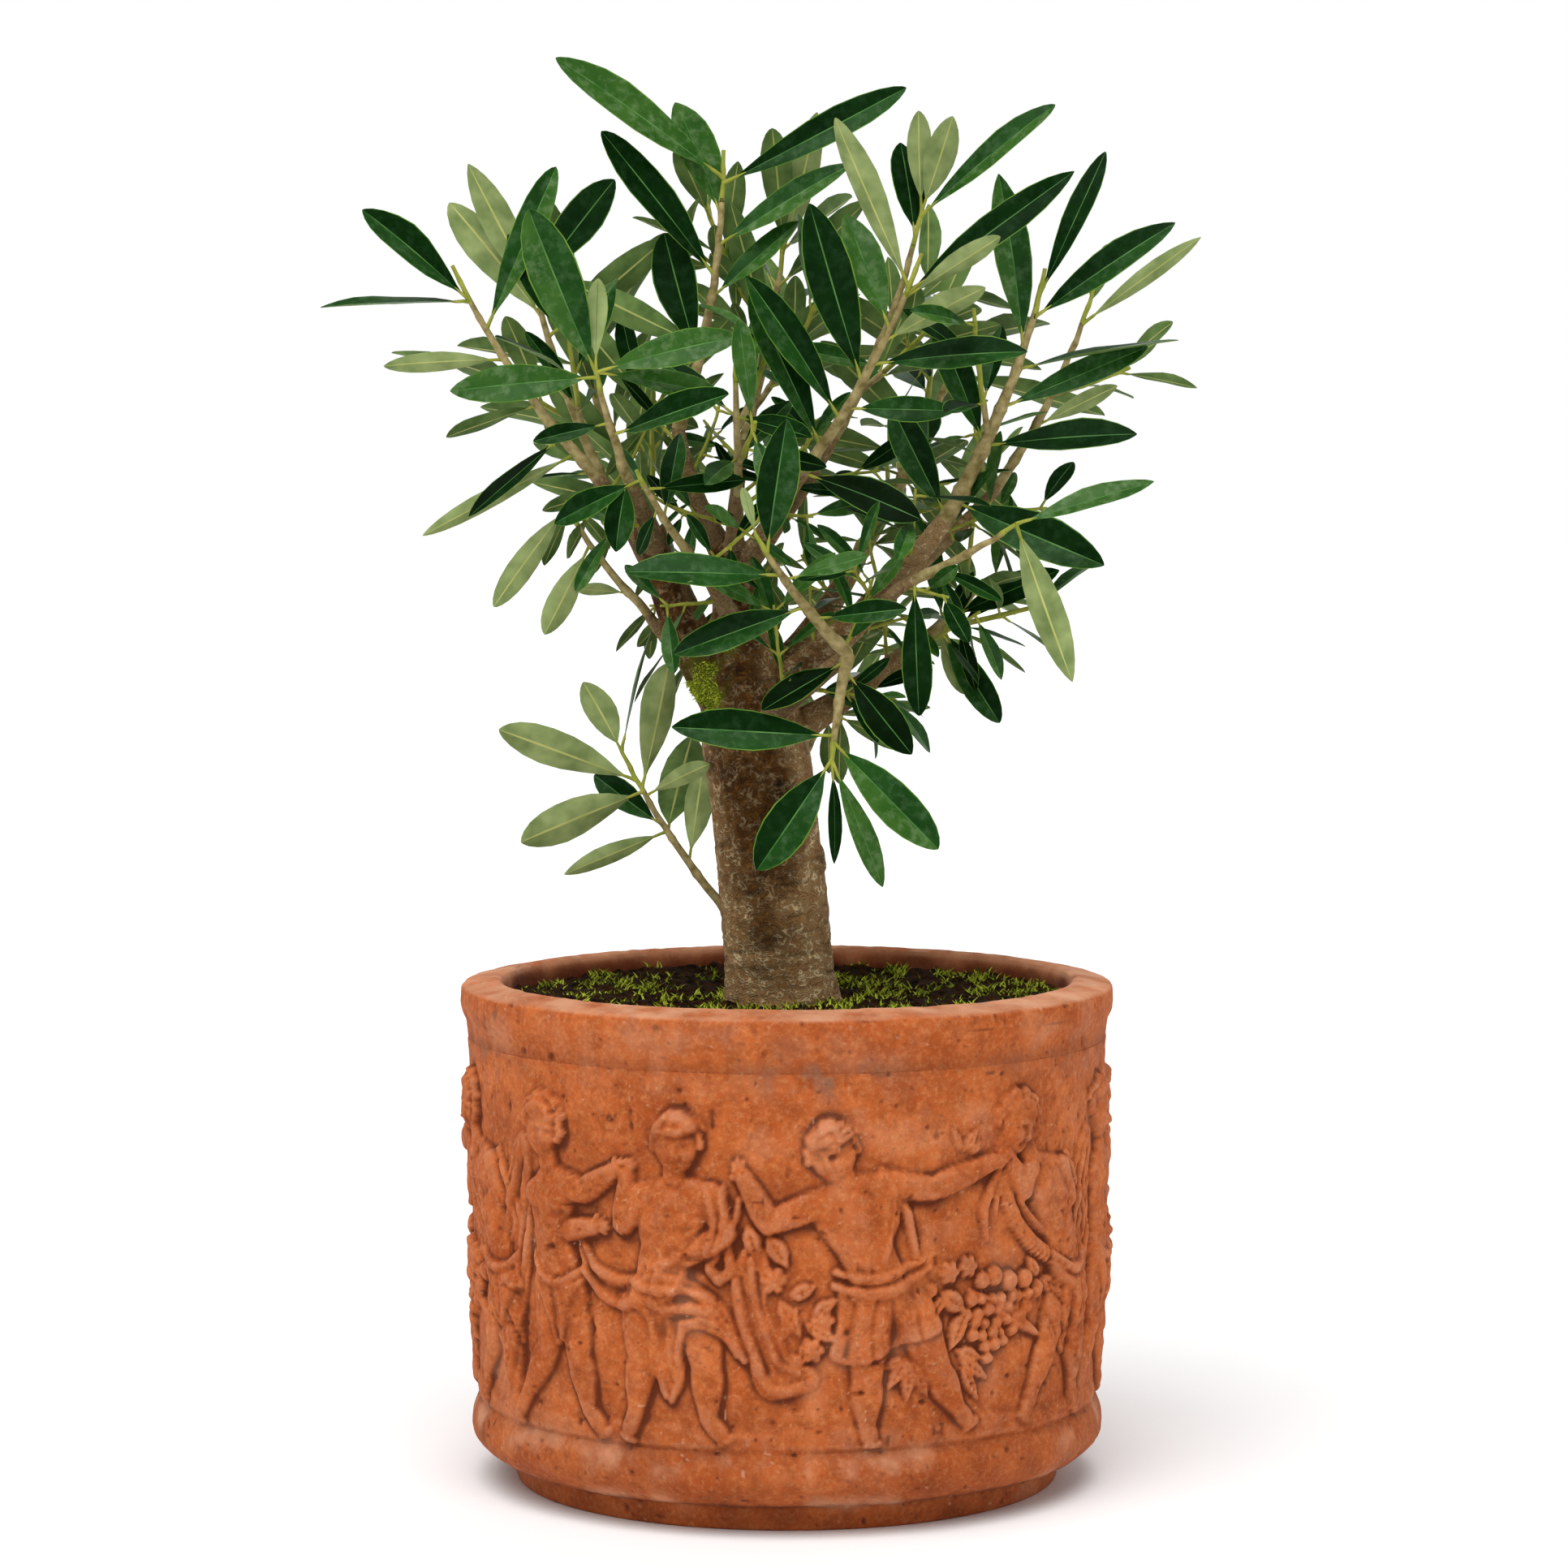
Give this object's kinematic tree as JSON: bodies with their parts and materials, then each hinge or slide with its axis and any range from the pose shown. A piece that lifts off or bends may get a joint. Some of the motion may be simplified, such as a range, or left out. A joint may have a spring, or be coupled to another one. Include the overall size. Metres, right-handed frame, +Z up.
{
  "type": "potted olive bonsai",
  "caption": "Small olive tree with a stout leaning trunk, open crown of narrow leaves and a round terracotta pot with a raised frieze.",
  "frame": {"origin": "centre of the pot's flat underside", "axes": "+Z up along the pot's axis, -Y towards the side with the frieze's panel centre, +X to the viewer's right"},
  "size_m": [0.3957, 0.3211, 0.6542],
  "materials": {
    "terracotta": "matte",
    "potting_soil": "matte",
    "bark": "matte",
    "foliage": "satin"
  },
  "bodies": {
    "root": {"pot": "terracotta", "soil": "potting_soil", "trunk": "bark", "bough_leader": "bark", "bough_left": "bark", "bough_right_high": "bark", "bough_right_low": "bark", "bough_front": "bark", "bough_back_left": "bark", "bough_back_right": "bark", "branch_top": "bark", "branch_centre": "bark", "branch_upper_right": "bark", "branch_back": "bark", "branch_inner": "bark", "branch_left_outer": "bark", "branch_left_front": "bark", "branch_left_back": "bark", "branch_left_low": "bark", "branch_right_back": "bark", "branch_mid_right": "bark", "branch_mid_left": "bark", "spray_top": "foliage", "spray_centre": "foliage", "spray_left_outer": "foliage", "spray_left_front": "foliage", "spray_right_high": "foliage", "spray_front": "foliage", "spray_low_left": "foliage", "spray_right_low": "foliage", "spray_mid_right": "foliage", "spray_mid_left": "foliage", "spray_inner": "foliage", "spray_upper_right": "foliage", "spray_left_low": "foliage", "spray_left_back": "foliage", "spray_right_back": "foliage", "spray_back": "foliage", "spray_back_left": "foliage", "spray_back_right": "foliage", "spray_low_back": "foliage"}
  },
  "joints": []
}
